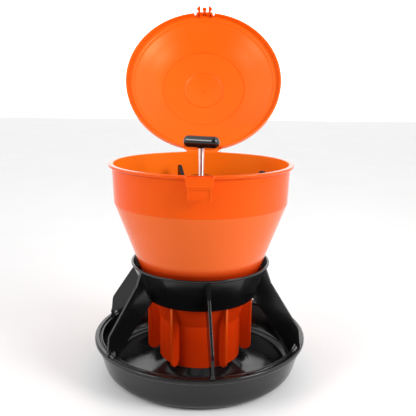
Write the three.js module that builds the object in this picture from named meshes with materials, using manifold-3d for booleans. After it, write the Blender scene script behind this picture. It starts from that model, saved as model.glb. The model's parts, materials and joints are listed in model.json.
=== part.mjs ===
// Gravity poultry feeder: a round feed tray, a hopper with a spout that stands over it, and a lid.
// Six divider plates carry a collar above the tray, and the hopper sits in that collar on three ramps.
// A sprung rod with a T-handle runs down the middle and clamps the feeder to a slotted floor.
//
// Units are millimetres, +Z is up, the front is -Y, and the origin is at the middle of the tray's foot.
// Angles about the axis are in degrees, counted from the front (-Y) towards +X.

import * as THREE from 'three';
import { mergeVertices } from 'three/addons/utils/BufferGeometryUtils.js';
import Module from 'manifold-3d';

const wasm = await Module();
wasm.setup();

// ---------------------------------------------------------------- driving dimensions

const GAP = 0.3; // air left between pieces that touch
const ROUND = 48; // sides of the large turned pieces
const SMALL_ROUND = 16; // sides of pins, rods and bores

const TRAY_RADIUS = 150;
const TRAY_HEIGHT = 52;
const TRAY_WALL = 3;
const TRAY_FOOT_RADIUS = 121;
const RIM_INNER_RADIUS = 138.4; // thin bead on the inside of the rim

const SPIGOT_RADIUS = 9; // guide for the rod in the middle of the tray
const SPIGOT_TOP = 66;
const SPIGOT_BOTTOM = 10.3;
const SPIGOT_BORE = 4.5;
const KEY_WIDTH = 3; // keys on the spigot that stop the cross from turning
const KEY_RADIUS = 10.2;
const KEY_BOTTOM = 34;

const COLLAR_TOP = 159;
const COLLAR_TOP_RADIUS = 97;
const COLLAR_BOTTOM = 110;
const COLLAR_BOTTOM_RADIUS = 78;
const COLLAR_WALL = 2.5;

const DIVIDER_COUNT = 6;
const DIVIDER_FIRST_ANGLE = 7;
const DIVIDER_THICKNESS = 3.8;
const SOCKET_THICKNESS = 5.6;
const FOOT_WIDTH = 9;

const SPOUT_RADIUS = 57.8;
const SPOUT_BOTTOM = 19.3;
const CONE_BOTTOM = 79.5;
const SHOULDER_RADIUS = 119;
const SHOULDER_HEIGHT = 244;
const HOPPER_WALL_TOP_RADIUS = 121;
const HOPPER_LIP_RADIUS = 125.7;
const HOPPER_TOP = 296.4;
const HOPPER_WALL = 2.5;
const FIN_COUNT = 6;
const FIN_FIRST_ANGLE = 30;
const FIN_RADIUS = 74.5;
const FIN_BOTTOM = 22;
const FIN_THICKNESS = 4;

const RAMP_COUNT = 3;
const RAMP_REACH = 5.2; // how far ramps and lugs stand out from their walls
const RAMP_RISE = 15; // millimetres of lift for one radian of turn
const RAMP_ANGLE = 127; // where the first lug sits
const LUG_HALF_ANGLE = 4;
const TURN_RANGE = 30;
const LUG_BOTTOM = 134;
const LUG_HEIGHT = 6;

const HINGE_Y = 136;
const HINGE_Z = 293;
const PIN_RADIUS = 2;
const TAB_HALF_WIDTH = 23;
const EAR_INNER = 23.4;
const EAR_OUTER = 29.4;
const EAR_RADIUS = 5;
const LID_OPEN_ANGLE = 120.7;

const LID_RADIUS = 130;
const LID_SEAT = 296.7; // underside of the lid's flat rim when the lid is closed
const LID_WALL = 2.5;
const LID_DOME_RADIUS = 117;
const LID_SKIRT_BOTTOM = 290;
const LATCH_NOTCH = 18.5; // half width of the skirt's gap at the latch
const HINGE_NOTCH = 31.5; // half width of the skirt's gap at the hinge
const PRONG_LENGTH = 24;

const CROSS_FIRST_ANGLE = 21.1;
const CROSS_ARMS = 4;
const ARM_THICKNESS = 5;
const POST_TOP = 280.3;
const POST_OUTER = 97;
const POST_INNER = 90.5;
const TUBE_RADIUS = 11.5;
const TUBE_BORE = 9.3;
const TUBE_BOTTOM = 50;
const TUBE_TOP = 270;
const CAP_RADIUS = 16;
const CAP_TOP = 276;

const ROD_RADIUS = 4;
const HANDLE_BOTTOM = 316;
const HANDLE_HEIGHT = 16;
const HANDLE_LENGTH = 52;
const HANDLE_DEPTH = 17;
const HANDLE_TURN = -25;
const WASHER_BOTTOM = 120;
const WASHER_THICKNESS = 1.5;
const SPRING_TURNS = 7;
const SPRING_RADIUS = 6.6;
const SPRING_WIRE = 0.8;
const TOGGLE_LENGTH = 46;
const TOGGLE_WIDTH = 9;
const TOGGLE_HEIGHT = 8;
const TOGGLE_BOTTOM = 2;

// ---------------------------------------------------------------- shape helpers

const radians = (degrees) => THREE.MathUtils.degToRad(degrees);
const points = (pairs) => pairs.map(([x, y]) => new THREE.Vector2(x, y));

// A closed geometry as a solid that can be joined and cut.
function solid(geometry) {
  const bare = geometry.clone();
  bare.deleteAttribute('normal');
  bare.deleteAttribute('uv');
  const merged = mergeVertices(bare, 1e-4);
  return new wasm.Manifold(
    new wasm.Mesh({
      numProp: 3,
      vertProperties: new Float32Array(merged.attributes.position.array),
      triVerts: new Uint32Array(merged.index.array),
    })
  );
}

function geometryOf(manifold) {
  const mesh = manifold.getMesh();
  const geometry = new THREE.BufferGeometry();
  geometry.setAttribute('position', new THREE.BufferAttribute(mesh.vertProperties, 3));
  geometry.setIndex(new THREE.BufferAttribute(mesh.triVerts, 1));
  geometry.computeVertexNormals();
  return geometry;
}

const joined = (solids) => solids.reduce((whole, next) => whole.add(next));
const without = (body, cutters) => cutters.reduce((left, cutter) => left.subtract(cutter), body);

// A turned solid about Z from a closed outline of [radius, height], outside going up.
function turned(outline, sides = ROUND, closed = true) {
  const profile = points(closed ? [...outline, outline[0]] : outline);
  return solid(new THREE.LatheGeometry(profile, sides).rotateX(Math.PI / 2));
}

function cylinder(radius, bottom, top, sides = SMALL_ROUND) {
  const geometry = new THREE.CylinderGeometry(radius, radius, top - bottom, sides);
  return solid(geometry.rotateX(Math.PI / 2).translate(0, 0, (top + bottom) / 2));
}

// A cylinder whose axis runs along X, through (y, z).
function crossCylinder(radius, fromX, toX, y, z, sides = SMALL_ROUND) {
  const geometry = new THREE.CylinderGeometry(radius, radius, toX - fromX, sides);
  return solid(geometry.rotateZ(Math.PI / 2).translate((fromX + toX) / 2, y, z));
}

function block([x0, y0, z0], [x1, y1, z1]) {
  const geometry = new THREE.BoxGeometry(x1 - x0, y1 - y0, z1 - z0);
  return solid(geometry.translate((x0 + x1) / 2, (y0 + y1) / 2, (z0 + z1) / 2));
}

// A flat plate that stands on its edge along a radius: the outline is [radius, height].
function radialPlate(shape, thickness, angle) {
  const geometry = new THREE.ExtrudeGeometry(shape, {
    depth: thickness,
    bevelEnabled: false,
    curveSegments: 6,
  });
  geometry.translate(0, 0, -thickness / 2);
  geometry.rotateX(Math.PI / 2);
  geometry.rotateZ(radians(angle - 90));
  return solid(geometry);
}

// A plate whose outline is [y, height], with its thickness along X from -half to +half.
function sidePlate(outline, fromX, toX) {
  const geometry = new THREE.ExtrudeGeometry(new THREE.Shape(points(outline)), {
    depth: toX - fromX,
    bevelEnabled: false,
  });
  geometry.applyMatrix4(
    new THREE.Matrix4().makeBasis(
      new THREE.Vector3(0, 1, 0),
      new THREE.Vector3(0, 0, 1),
      new THREE.Vector3(1, 0, 0)
    )
  );
  return solid(geometry.translate(fromX, 0, 0));
}

// A plate whose outline is [x, height], with its thickness along Y.
function frontPlate(shape, fromY, toY) {
  const geometry = new THREE.ExtrudeGeometry(shape, {
    depth: toY - fromY,
    bevelEnabled: false,
    curveSegments: 5,
  });
  return solid(geometry.rotateX(Math.PI / 2).translate(0, toY, 0));
}

// A block bent round the axis: radius, angle and height come from place(u, angle, w), u and w in 0..1.
function bentBlock(fromAngle, toAngle, place) {
  const steps = Math.ceil((toAngle - fromAngle) / 7.5);
  const geometry = new THREE.BoxGeometry(1, 1, 1, 1, steps, 1);
  const position = geometry.attributes.position;
  for (let i = 0; i < position.count; i += 1) {
    const angle = THREE.MathUtils.lerp(fromAngle, toAngle, position.getY(i) + 0.5);
    const { radius, height } = place(position.getX(i) + 0.5, angle, position.getZ(i) + 0.5);
    const turn = radians(angle);
    position.setXYZ(i, radius * Math.sin(turn), -radius * Math.cos(turn), height);
  }
  return solid(geometry);
}

const spaced = (count, first) => Array.from({ length: count }, (_, i) => first + (i * 360) / count);

// ---------------------------------------------------------------- walls that several pieces share

const coneSlope = (SHOULDER_RADIUS - SPOUT_RADIUS) / (SHOULDER_HEIGHT - CONE_BOTTOM);
const coneOuter = (z) => SPOUT_RADIUS + (z - CONE_BOTTOM) * coneSlope;
const coneInner = (z) => coneOuter(z) - HOPPER_WALL * Math.hypot(1, coneSlope);
const collarSlope = (COLLAR_TOP_RADIUS - COLLAR_BOTTOM_RADIUS) / (COLLAR_TOP - COLLAR_BOTTOM);
const collarOuter = (z) => COLLAR_BOTTOM_RADIUS + (z - COLLAR_BOTTOM) * collarSlope;
const collarInner = (z) => collarOuter(z) - COLLAR_WALL;
const rampTop = (angle, lugAngle) => LUG_BOTTOM - GAP + radians(angle - lugAngle) * RAMP_RISE;

// ---------------------------------------------------------------- tray, collar and dividers

function trayGeometry() {
  const rimTop = TRAY_HEIGHT;
  const outline = [
    [SPIGOT_BORE, SPIGOT_BOTTOM],
    [SPIGOT_RADIUS, SPIGOT_BOTTOM],
    [SPIGOT_RADIUS, 27],
    [18, 25.2],
    [28, 20.2],
    [40, 12.6],
    [51, 5.4],
    [58, 0],
    [TRAY_FOOT_RADIUS, 0],
    [129, 2.4],
    [134.6, 8],
    [137.6, 15],
    [139.2, 24],
    [147.6, rimTop - 9],
    [TRAY_RADIUS, rimTop - 8.4],
    [TRAY_RADIUS, rimTop - 2],
    [148, rimTop],
    [146.4, rimTop - 0.6],
    [141.8, rimTop - 2.9],
    [140.4, rimTop - 1.5],
    [RIM_INNER_RADIUS + 0.4, rimTop - 1.8],
    [RIM_INNER_RADIUS, rimTop - 5],
    [143.4, rimTop - 6.4],
    [136.2, 25],
    [134.4, 16.6],
    [131.6, 10],
    [126.6, 5],
    [119.6, TRAY_WALL],
    [63, TRAY_WALL],
    [52, 8.6],
    [40, 16.2],
    [28, 23.6],
    [18, 28.4],
    [SPIGOT_RADIUS, 30],
    [SPIGOT_RADIUS, SPIGOT_TOP],
    [SPIGOT_BORE, SPIGOT_TOP],
  ];
  const keys = block(
    [-KEY_RADIUS, -KEY_WIDTH / 2, KEY_BOTTOM],
    [KEY_RADIUS, KEY_WIDTH / 2, SPIGOT_TOP - 2]
  ).subtract(cylinder(SPIGOT_BORE + 1, KEY_BOTTOM - 1, SPIGOT_TOP));
  return geometryOf(turned(outline).add(keys));
}

// The outline that a socket and the plate inside it share, grown outwards by rim.
function socketShape(rim) {
  const top = 156 + rim;
  return new THREE.Shape(
    points([
      [collarOuter(114) - 1, 114 - rim],
      [100, 130 - rim],
      [104.2 + rim, 137 - rim],
      [collarOuter(top) + 0.4 + rim * 0.4, top],
      [collarOuter(top) - 1, top],
    ])
  );
}

function collarGeometry() {
  const outline = [
    [collarInner(COLLAR_BOTTOM), COLLAR_BOTTOM],
    [COLLAR_BOTTOM_RADIUS, COLLAR_BOTTOM],
    [collarOuter(155) - 0.4, 155],
    [COLLAR_TOP_RADIUS, 156.4],
    [COLLAR_TOP_RADIUS, COLLAR_TOP - 0.6],
    [COLLAR_TOP_RADIUS - 0.8, COLLAR_TOP],
    [COLLAR_TOP_RADIUS - COLLAR_WALL, COLLAR_TOP],
  ];
  const inside = turned([
    [0.01, COLLAR_BOTTOM - 5],
    [collarInner(COLLAR_BOTTOM - 5), COLLAR_BOTTOM - 5],
    [collarInner(COLLAR_TOP + 5), COLLAR_TOP + 5],
    [0.01, COLLAR_TOP + 5],
  ]);
  const sockets = spaced(DIVIDER_COUNT, DIVIDER_FIRST_ANGLE).map((angle) =>
    radialPlate(socketShape(1.2), SOCKET_THICKNESS, angle)
  );
  const pockets = spaced(DIVIDER_COUNT, DIVIDER_FIRST_ANGLE).map((angle) =>
    radialPlate(dividerShape(GAP), DIVIDER_THICKNESS + 2 * GAP, angle)
  );
  const ramps = spaced(RAMP_COUNT, RAMP_ANGLE).flatMap((lugAngle) => {
    const low = lugAngle - LUG_HALF_ANGLE;
    const high = lugAngle + TURN_RANGE + LUG_HALF_ANGLE + 2;
    const ledge = bentBlock(low - 4, high, (u, angle, w) => {
      const height = rampTop(angle, lugAngle) - 3 * (1 - w);
      return { radius: collarInner(height) - RAMP_REACH + u * (RAMP_REACH + 1), height };
    });
    const stop = bentBlock(low - 4, low - 0.4, (u, angle, w) => {
      const height = rampTop(low, lugAngle) - 3 + w * 8;
      return { radius: collarInner(height) - RAMP_REACH + u * (RAMP_REACH + 1), height };
    });
    return [ledge, stop];
  });
  const ring = joined([turned(outline), ...sockets]).subtract(inside);
  return geometryOf(without(joined([ring, ...ramps]), pockets));
}

// One plate from the collar's socket to the tray's rim. grow widens it, for the pocket it sits in.
function dividerShape(grow = 0) {
  const wall = (z) => collarOuter(z) + GAP + 0.1 - grow;
  const shape = new THREE.Shape();
  shape.moveTo(wall(113), 113 - grow);
  shape.lineTo(107, 81.5);
  shape.lineTo(114.5, 72);
  shape.lineTo(131, 51);
  shape.lineTo(132.4, 48.4);
  shape.lineTo(136, 48.4);
  shape.lineTo(136.4, 53);
  shape.quadraticCurveTo(141, 59.5, 145.6, TRAY_HEIGHT + GAP);
  shape.lineTo(149.4, TRAY_HEIGHT + GAP);
  shape.lineTo(146.5, 78.4);
  shape.lineTo(106.2 + grow, 137.8 - 1.2);
  shape.lineTo(104.2 + grow, 137.8 + grow);
  shape.lineTo(collarOuter(155) + 1.4 + grow, 152 + grow);
  shape.lineTo(wall(152), 152 + grow);
  shape.closePath();
  return shape;
}

function dividerGeometry(angle) {
  const plate = radialPlate(dividerShape(), DIVIDER_THICKNESS, angle);
  const foot = radialPlate(
    new THREE.Shape(
      points([
        [145.6, TRAY_HEIGHT + GAP],
        [149.6, TRAY_HEIGHT + GAP],
        [148.6, 58],
        [146.2, 58],
      ])
    ),
    FOOT_WIDTH,
    angle
  );
  return geometryOf(plate.add(foot));
}

// ---------------------------------------------------------------- hopper

function finShape() {
  const round = (FIN_RADIUS - SPOUT_RADIUS) / 2;
  const middle = SPOUT_RADIUS + round;
  const top = CONE_BOTTOM + (FIN_RADIUS - SPOUT_RADIUS) / coneSlope;
  const shape = new THREE.Shape();
  shape.moveTo(SPOUT_RADIUS - 1.2, FIN_BOTTOM + round);
  shape.lineTo(SPOUT_RADIUS, FIN_BOTTOM + round);
  shape.absarc(middle, FIN_BOTTOM + round, round, Math.PI, 2 * Math.PI, false);
  shape.lineTo(FIN_RADIUS, top);
  shape.lineTo(coneOuter(top) - 1.2, top);
  shape.lineTo(SPOUT_RADIUS - 1.2, CONE_BOTTOM + 2);
  shape.closePath();
  return shape;
}

// Bracket that the lid's clip drops into: a tapered box with a slot, and a framed panel below it.
function latchBracket() {
  const wall = -(HOPPER_WALL_TOP_RADIUS - 1.5);
  const box = frontPlate(
    new THREE.Shape(
      points([
        [-15.35, 283.4],
        [15.35, 283.4],
        [17.25, HOPPER_TOP],
        [-17.25, HOPPER_TOP],
      ])
    ),
    -133.5,
    wall
  );
  const panel = block([-13.9, -133.5, 269], [13.9, -131.5, 284]);
  const sunk = block([-11.9, -135, 271], [11.9, -132.9, 281.4]);
  return { add: [box, panel.subtract(sunk)], cut: latchSlot() };
}

function latchSlot() {
  const shape = new THREE.Shape(
    points([
      [-13.6, 280],
      [13.6, 280],
      [13.6, 284],
      [15.25, HOPPER_TOP + 2],
      [-15.25, HOPPER_TOP + 2],
      [-13.6, 284],
    ])
  );
  return frontPlate(shape, -131.5, -(HOPPER_WALL_TOP_RADIUS + 0.9));
}

// Two ears for the hinge pin, and the ledge between them that the open lid's heel rests on.
function hingeBracket() {
  const wall = HOPPER_WALL_TOP_RADIUS - 2;
  const earOutline = [
    [wall, 281],
    [134.5, 281],
    [HINGE_Y + EAR_RADIUS, HINGE_Z - 4],
    [HINGE_Y + EAR_RADIUS, HINGE_Z],
    [HINGE_Y + 3.5, HINGE_Z + 3.5],
    [HINGE_Y, HINGE_Z + EAR_RADIUS - 0.4],
    [HINGE_Y - 3, HINGE_Z + 3],
    [wall, HINGE_Z + 3],
  ];
  const ears = [
    sidePlate(earOutline, -EAR_OUTER, -EAR_INNER),
    sidePlate(earOutline, EAR_INNER, EAR_OUTER),
  ];
  const ledge = block([-EAR_INNER - 1, wall, 281], [EAR_INNER + 1, 134.5, 285.4]);
  const bore = crossCylinder(PIN_RADIUS + 0.2, -EAR_OUTER - 1, EAR_OUTER + 1, HINGE_Y, HINGE_Z);
  return { add: [...ears, ledge], cut: bore };
}

function hopperGeometry() {
  const outline = [
    [SPOUT_RADIUS - HOPPER_WALL, SPOUT_BOTTOM],
    [SPOUT_RADIUS, SPOUT_BOTTOM],
    [SPOUT_RADIUS, CONE_BOTTOM],
    [SHOULDER_RADIUS, SHOULDER_HEIGHT],
    [HOPPER_WALL_TOP_RADIUS, 291],
    [HOPPER_LIP_RADIUS - 1, 292.8],
    [HOPPER_LIP_RADIUS, 294],
    [HOPPER_LIP_RADIUS, 295.4],
    [HOPPER_LIP_RADIUS - 1, HOPPER_TOP],
    [HOPPER_WALL_TOP_RADIUS - 1.6, HOPPER_TOP],
    [HOPPER_WALL_TOP_RADIUS - HOPPER_WALL, 295.4],
    [SHOULDER_RADIUS - HOPPER_WALL, SHOULDER_HEIGHT + 0.4],
    [SPOUT_RADIUS - HOPPER_WALL, CONE_BOTTOM + 0.5],
  ];
  const fins = spaced(FIN_COUNT, FIN_FIRST_ANGLE).map((angle) =>
    radialPlate(finShape(), FIN_THICKNESS, angle)
  );
  const lugs = spaced(RAMP_COUNT, RAMP_ANGLE).map((lugAngle) =>
    bentBlock(lugAngle - LUG_HALF_ANGLE, lugAngle + LUG_HALF_ANGLE, (u, angle, w) => {
      const height = rampTop(angle, lugAngle) + GAP + w * LUG_HEIGHT;
      return { radius: coneOuter(height) - 1 + u * (RAMP_REACH + 1), height };
    })
  );
  const latch = latchBracket();
  const hinge = hingeBracket();
  const body = joined([turned(outline), ...fins, ...lugs, ...latch.add, ...hinge.add]);
  return geometryOf(without(body, [latch.cut, hinge.cut]));
}

// ---------------------------------------------------------------- lid, drawn closed

const lidUnderside = new THREE.SplineCurve(
  points([
    [0, 336.3],
    [16, 334.4],
    [33.5, 330.6],
    [70.5, 323.8],
    [100, 309.6],
    [LID_DOME_RADIUS, 299],
  ])
);

// The snap clip: two barbed outer prongs, a round-headed middle one, and four small gussets behind.
function clipSolids() {
  const front = -LID_RADIUS;
  const back = front + LID_WALL;
  const root = LID_SEAT + 1;
  const tip = LID_SEAT - PRONG_LENGTH;
  const barbed = (side) =>
    frontPlate(
      new THREE.Shape(
        points([
          [7 * side, root],
          [7 * side, tip + 1],
          [8 * side, tip],
          [13.1 * side, tip + 9],
          [11 * side, tip + 12],
          [11 * side, root],
        ])
      ),
      front,
      back
    );
  const stem = block([-3, front, tip + 9], [3, back, root]);
  const head = new THREE.Shape();
  head.absarc(0, tip + 7.2, 3.7, 0, 2 * Math.PI, false);
  const gussets = [-12.8, -7.9, 7.9, 12.8].map((x) =>
    sidePlate(
      [
        [back - 0.6, LID_SEAT - 8.2],
        [back, LID_SEAT - 8.2],
        [-(HOPPER_WALL_TOP_RADIUS + 1.3), LID_SEAT + 0.6],
        [back - 0.6, LID_SEAT + 0.6],
      ],
      x - 0.6,
      x + 0.6
    )
  );
  const bridge = block([-13.4, front, LID_SEAT - 8.2], [13.4, back, root]);
  return [barbed(-1), barbed(1), stem, frontPlate(head, front, back), bridge, ...gussets];
}

function lidGeometry() {
  const under = lidUnderside.getPoints(9).map((point) => [Math.max(point.x, 0), point.y]);
  const over = under.map(([radius, height]) => [radius, height + LID_WALL]).reverse();
  const outline = [
    ...under,
    [LID_DOME_RADIUS + 0.6, LID_SEAT],
    [LID_RADIUS - LID_WALL, LID_SEAT],
    [LID_RADIUS - LID_WALL, LID_SKIRT_BOTTOM],
    [LID_RADIUS, LID_SKIRT_BOTTOM],
    [LID_RADIUS, LID_SEAT + LID_WALL - 0.8],
    [LID_RADIUS - 0.8, LID_SEAT + LID_WALL],
    [LID_DOME_RADIUS + 2.4, LID_SEAT + LID_WALL],
    ...over,
  ];
  const below = LID_SKIRT_BOTTOM - 1;
  const skirtCuts = [
    block([-LATCH_NOTCH, -140, below], [LATCH_NOTCH, -110, LID_SEAT]),
    block([-HINGE_NOTCH, 110, below], [HINGE_NOTCH, 140, LID_SEAT]),
  ];
  const top = LID_SEAT + LID_WALL;
  const tab = sidePlate(
    [
      [122, LID_SEAT],
      [HINGE_Y - 4, LID_SEAT],
      [HINGE_Y - 4, HINGE_Z],
      [HINGE_Y, HINGE_Z - 4],
      [HINGE_Y + 2, HINGE_Z - 1.5],
      [HINGE_Y + 7.5, HINGE_Z - 1.5],
      [HINGE_Y + 7.5, HINGE_Z + 1.5],
      [HINGE_Y + 4, HINGE_Z + 2.5],
      [HINGE_Y + 1.5, top - 0.6],
      [HINGE_Y - 1, top],
      [122, top],
    ],
    -TAB_HALF_WIDTH,
    TAB_HALF_WIDTH
  );
  const bore = crossCylinder(PIN_RADIUS + 0.3, -EAR_INNER, EAR_INNER, HINGE_Y, HINGE_Z);
  const shell = without(turned(outline, ROUND, false), skirtCuts);
  return geometryOf(joined([shell, tab.subtract(bore), ...clipSolids()]));
}

function hingePinGeometry() {
  const shank = crossCylinder(PIN_RADIUS, -EAR_OUTER - 0.6, EAR_OUTER + 1, HINGE_Y, HINGE_Z);
  const head = crossCylinder(3.6, EAR_OUTER + GAP, EAR_OUTER + 1.8, HINGE_Y, HINGE_Z);
  return geometryOf(shank.add(head));
}

// ---------------------------------------------------------------- cross inside the hopper

function crossGeometry() {
  const clear = 0.8;
  const bend = CONE_BOTTOM + (POST_OUTER + clear + HOPPER_WALL * Math.hypot(1, coneSlope) - SPOUT_RADIUS) / coneSlope;
  const arm = new THREE.Shape();
  arm.moveTo(TUBE_RADIUS - 1, 180);
  arm.lineTo(coneInner(165) - clear, 165);
  arm.lineTo(POST_OUTER, bend);
  arm.lineTo(POST_OUTER, POST_TOP - 2);
  arm.quadraticCurveTo(POST_OUTER, POST_TOP, POST_OUTER - 2, POST_TOP);
  arm.lineTo(POST_INNER + 1, POST_TOP);
  arm.lineTo(POST_INNER, POST_TOP - 1);
  arm.lineTo(72, 261);
  arm.quadraticCurveTo(58, 240, 30, 232);
  arm.lineTo(TUBE_RADIUS - 1, 230);
  arm.closePath();
  const arms = spaced(CROSS_ARMS, CROSS_FIRST_ANGLE).map((angle) =>
    radialPlate(arm, ARM_THICKNESS, angle)
  );
  const tube = turned(
    [
      [TUBE_RADIUS - 2, TUBE_BOTTOM],
      [TUBE_RADIUS, TUBE_BOTTOM],
      [TUBE_RADIUS, TUBE_TOP],
      [TUBE_RADIUS - 2, TUBE_TOP],
    ],
    24
  );
  const bore = cylinder(TUBE_BORE, TUBE_BOTTOM - 1, TUBE_TOP + 1, 24);
  const reach = KEY_RADIUS + 0.4;
  const keyway = block(
    [-reach, -KEY_WIDTH / 2 - GAP, TUBE_BOTTOM - 1],
    [reach, KEY_WIDTH / 2 + GAP, SPIGOT_TOP + 12]
  );
  return geometryOf(without(joined([tube, ...arms]), [bore, keyway]));
}

function tubeCapGeometry() {
  return geometryOf(
    turned(
      [
        [ROD_RADIUS + 0.4, TUBE_TOP - 14],
        [TUBE_BORE - GAP - 0.1, TUBE_TOP - 14],
        [TUBE_BORE - GAP - 0.1, TUBE_TOP + GAP],
        [CAP_RADIUS, TUBE_TOP + GAP],
        [CAP_RADIUS, CAP_TOP - 1.2],
        [CAP_RADIUS - 1.2, CAP_TOP],
        [ROD_RADIUS + 0.4, CAP_TOP],
      ],
      24
    )
  );
}

// ---------------------------------------------------------------- locking rod and its small pieces

const WASHER_PIN_RADIUS = 1.2;
const WASHER_PIN_HEIGHT = WASHER_BOTTOM + WASHER_THICKNESS + GAP + WASHER_PIN_RADIUS;
const HANDLE_PIN_RADIUS = 1.2;
const HANDLE_PIN_HEIGHT = HANDLE_BOTTOM + 6;
const TOGGLE_PIN_RADIUS = 1.2;
const TOGGLE_PIN_HEIGHT = TOGGLE_BOTTOM + 5;
const PIN_FIT = 0.15;

function acrossRod(radius, halfLength, height) {
  const geometry = new THREE.CylinderGeometry(radius, radius, 2 * halfLength, 12);
  return solid(geometry.translate(0, 0, height));
}

function pinHole(radius, height) {
  return acrossRod(radius + PIN_FIT, 2 * HANDLE_DEPTH, height);
}

function rodGeometry() {
  const top = HANDLE_BOTTOM + 10;
  const bar = turned(
    [
      [0, TOGGLE_BOTTOM + 2.3],
      [ROD_RADIUS - 0.6, TOGGLE_BOTTOM + 2.3],
      [ROD_RADIUS, TOGGLE_BOTTOM + 2.9],
      [ROD_RADIUS, top],
      [0, top],
    ],
    SMALL_ROUND,
    false
  );
  return geometryOf(
    without(bar, [
      pinHole(WASHER_PIN_RADIUS, WASHER_PIN_HEIGHT),
      pinHole(HANDLE_PIN_RADIUS, HANDLE_PIN_HEIGHT),
      pinHole(TOGGLE_PIN_RADIUS, TOGGLE_PIN_HEIGHT),
    ])
  );
}

function roundedBar(length, height, bottom, depth, endRadius) {
  const half = length / 2;
  const shape = new THREE.Shape();
  shape.moveTo(-half + endRadius, bottom);
  shape.lineTo(half - endRadius, bottom);
  shape.absarc(half - endRadius, bottom + endRadius, endRadius, -Math.PI / 2, 0, false);
  shape.lineTo(half, bottom + height - endRadius);
  shape.absarc(half - endRadius, bottom + height - endRadius, endRadius, 0, Math.PI / 2, false);
  shape.lineTo(-half + endRadius, bottom + height);
  shape.absarc(-half + endRadius, bottom + height - endRadius, endRadius, Math.PI / 2, Math.PI, false);
  shape.lineTo(-half, bottom + endRadius);
  shape.absarc(-half + endRadius, bottom + endRadius, endRadius, Math.PI, 1.5 * Math.PI, false);
  return frontPlate(shape, -depth / 2, depth / 2);
}

// The handle and the toggle bar lie along X before the rod is turned, and their pins run across the rod.
function handleGeometry() {
  const grip = roundedBar(HANDLE_LENGTH, HANDLE_HEIGHT, HANDLE_BOTTOM, HANDLE_DEPTH, 7);
  const chamfer = 3;
  const side = HANDLE_DEPTH / 2;
  const top = HANDLE_BOTTOM + HANDLE_HEIGHT;
  const section = [
    [-side, HANDLE_BOTTOM + chamfer],
    [-side + chamfer, HANDLE_BOTTOM],
    [side - chamfer, HANDLE_BOTTOM],
    [side, HANDLE_BOTTOM + chamfer],
    [side, top - chamfer],
    [side - chamfer, top],
    [-side + chamfer, top],
    [-side, top - chamfer],
  ];
  const waist = sidePlate(section, -HANDLE_LENGTH / 2 - 1, HANDLE_LENGTH / 2 + 1);
  return geometryOf(
    without(grip.intersect(waist), [
      cylinder(ROD_RADIUS + 0.2, HANDLE_BOTTOM - 1, HANDLE_BOTTOM + 10.3),
      pinHole(HANDLE_PIN_RADIUS, HANDLE_PIN_HEIGHT),
    ])
  );
}

function toggleGeometry() {
  const bar = roundedBar(TOGGLE_LENGTH, TOGGLE_HEIGHT, TOGGLE_BOTTOM, TOGGLE_WIDTH, 1.5);
  return geometryOf(
    without(bar, [
      cylinder(ROD_RADIUS + 0.2, TOGGLE_BOTTOM + 2, TOGGLE_BOTTOM + TOGGLE_HEIGHT + 1),
      pinHole(TOGGLE_PIN_RADIUS, TOGGLE_PIN_HEIGHT),
    ])
  );
}

function washerGeometry() {
  return geometryOf(
    turned(
      [
        [ROD_RADIUS + 0.4, WASHER_BOTTOM],
        [TUBE_BORE - 0.7, WASHER_BOTTOM],
        [TUBE_BORE - 0.7, WASHER_BOTTOM + WASHER_THICKNESS],
        [ROD_RADIUS + 0.4, WASHER_BOTTOM + WASHER_THICKNESS],
      ],
      24
    )
  );
}

class Helix extends THREE.Curve {
  constructor(radius, bottom, top, turns) {
    super();
    Object.assign(this, { radius, bottom, top, turns });
  }

  getPoint(t, target = new THREE.Vector3()) {
    const angle = t * this.turns * 2 * Math.PI;
    const height = THREE.MathUtils.lerp(this.bottom, this.top, t);
    return target.set(this.radius * Math.cos(angle), this.radius * Math.sin(angle), height);
  }
}

function springGeometry() {
  const margin = SPRING_WIRE + GAP + 0.1;
  const path = new Helix(SPRING_RADIUS, SPIGOT_TOP + margin, WASHER_BOTTOM - margin, SPRING_TURNS);
  const wire = new THREE.Shape();
  wire.absarc(0, 0, SPRING_WIRE, 0, 2 * Math.PI, false);
  const geometry = new THREE.ExtrudeGeometry(wire, {
    steps: SPRING_TURNS * 12,
    extrudePath: path,
    curveSegments: 3,
  });
  return geometryOf(solid(geometry));
}

// ---------------------------------------------------------------- materials and assembly

const finish = (color, roughness, metalness) => () =>
  new THREE.MeshStandardMaterial({ color, roughness, metalness });
const blackPlastic = finish(0x1d1d20, 0.3, 0);
const orangePlastic = finish(0xff6a1a, 0.42, 0);
const lidPlastic = finish(0xff7320, 0.45, 0);
const chrome = finish(0xc9c9cc, 0.16, 1);
const steel = finish(0x9a9ca0, 0.35, 1);

const feeder = new THREE.Group();

function place(parent, name, geometry, material) {
  const mesh = new THREE.Mesh(geometry, material());
  mesh.name = name;
  parent.add(mesh);
  return mesh;
}

place(feeder, 'tray', trayGeometry(), blackPlastic);
place(feeder, 'collar', collarGeometry(), blackPlastic);
spaced(DIVIDER_COUNT, DIVIDER_FIRST_ANGLE).forEach((angle, i) => {
  place(feeder, `divider_${i + 1}`, dividerGeometry(angle), blackPlastic);
});
place(feeder, 'hopper', hopperGeometry(), orangePlastic);
place(feeder, 'hinge_pin', hingePinGeometry(), steel);
place(feeder, 'hold_down_cross', crossGeometry(), blackPlastic);
place(feeder, 'tube_cap', tubeCapGeometry(), blackPlastic);

// The lid turns back about the hinge pin, so it hangs in a group whose origin is on the pin.
const openLid = new THREE.Group();
openLid.position.set(0, HINGE_Y, HINGE_Z);
openLid.rotation.x = radians(-LID_OPEN_ANGLE);
place(openLid, 'lid', lidGeometry().translate(0, -HINGE_Y, -HINGE_Z), lidPlastic);
feeder.add(openLid);

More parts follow.
